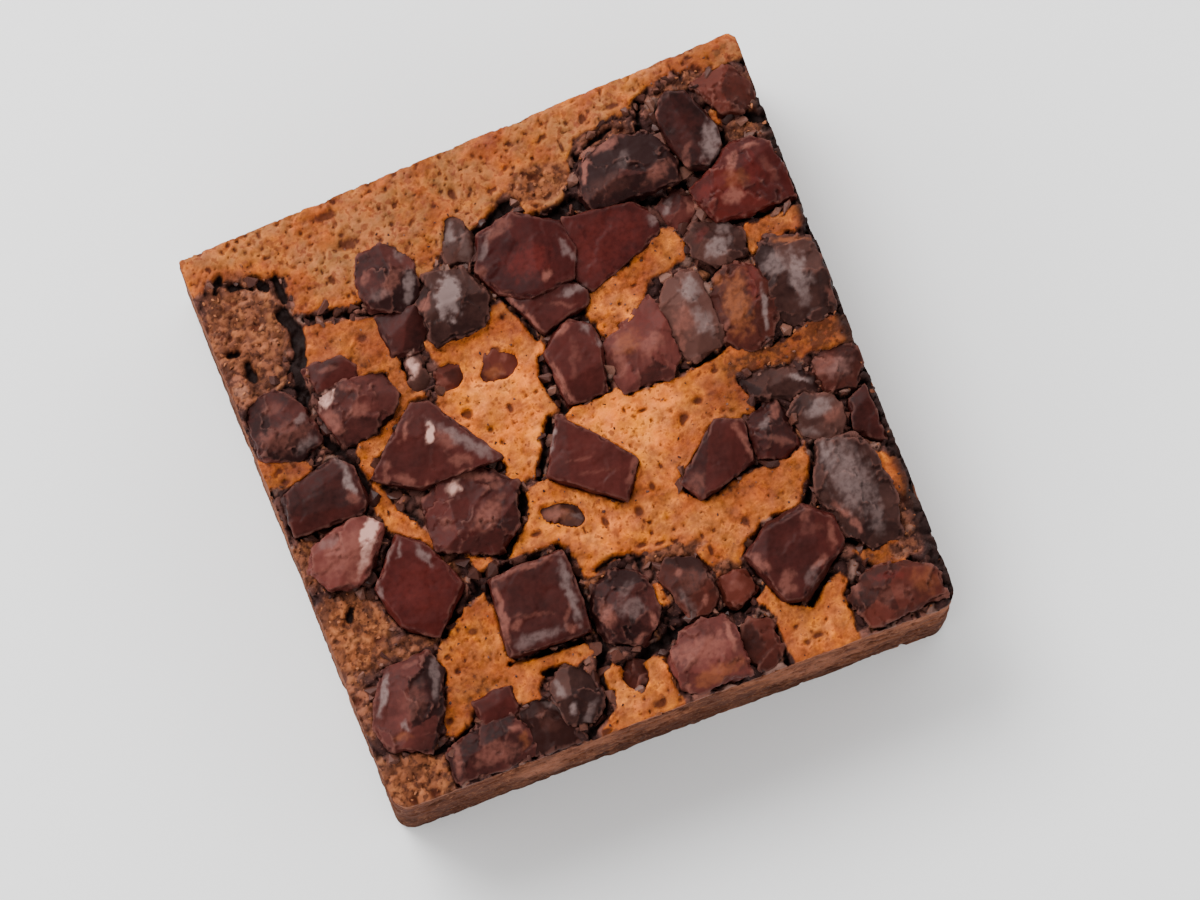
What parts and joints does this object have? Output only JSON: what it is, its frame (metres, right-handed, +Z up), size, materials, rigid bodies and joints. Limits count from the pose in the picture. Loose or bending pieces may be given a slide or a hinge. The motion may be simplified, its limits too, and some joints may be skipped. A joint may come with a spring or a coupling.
{
  "type": "fudge brownie",
  "caption": "Square fudge brownie cut from a tray, its tan crust set with broken pieces of dark chocolate that stand a little proud.",
  "frame": {"origin": "middle of the flat underside, where the brownie rests", "axes": "+X to the brownie's right and +Y to its back, along its cut sides as pictured; +Z up, through the crust"},
  "size_m": [0.077, 0.0788, 0.027],
  "materials": {
    "baked_crumb": "dry baked crust over a dense moist crumb",
    "dark_chocolate": "smooth dark chocolate, softly glossy",
    "ruddy_chocolate": "glossy reddish dark chocolate",
    "mauve_chocolate": "scuffed chocolate with a pinkish bloom",
    "grey_chocolate": "scuffed chocolate with a greyish bloom",
    "brown_chocolate": "brown chocolate dulled by crumbs"
  },
  "bodies": {
    "root": {"brownie": "baked_crumb", "chunk_01": "mauve_chocolate", "chunk_02": "dark_chocolate", "chunk_03": "grey_chocolate", "chunk_04": "grey_chocolate", "chunk_05": "ruddy_chocolate", "chunk_06": "ruddy_chocolate", "chunk_07": "dark_chocolate", "chunk_08": "dark_chocolate", "chunk_09": "mauve_chocolate", "chunk_10": "dark_chocolate", "chunk_11": "brown_chocolate", "chunk_12": "ruddy_chocolate", "chunk_13": "mauve_chocolate", "chunk_14": "grey_chocolate", "chunk_15": "mauve_chocolate", "chunk_16": "grey_chocolate", "chunk_17": "brown_chocolate", "chunk_18": "grey_chocolate", "chunk_19": "grey_chocolate", "chunk_20": "brown_chocolate", "chunk_21": "dark_chocolate", "chunk_22": "dark_chocolate", "chunk_23": "grey_chocolate", "chunk_24": "dark_chocolate", "chunk_25": "grey_chocolate", "chunk_26": "dark_chocolate", "chunk_27": "brown_chocolate", "chunk_28": "mauve_chocolate", "chunk_29": "brown_chocolate", "chunk_30": "mauve_chocolate", "chunk_31": "brown_chocolate", "chunk_32": "brown_chocolate", "chunk_33": "dark_chocolate", "chunk_34": "mauve_chocolate", "chunk_35": "mauve_chocolate", "chunk_36": "dark_chocolate", "chunk_37": "brown_chocolate", "chunk_38": "grey_chocolate", "chunk_39": "brown_chocolate", "chunk_40": "mauve_chocolate", "chunk_41": "dark_chocolate", "chunk_42": "mauve_chocolate", "chunk_43": "dark_chocolate", "chunk_44": "mauve_chocolate", "chunk_45": "dark_chocolate", "chunk_46": "dark_chocolate", "chunk_47": "ruddy_chocolate", "chunk_48": "dark_chocolate", "chunk_49": "grey_chocolate", "chunk_50": "brown_chocolate", "chunk_51": "brown_chocolate", "chunk_52": "grey_chocolate"}
  },
  "joints": []
}
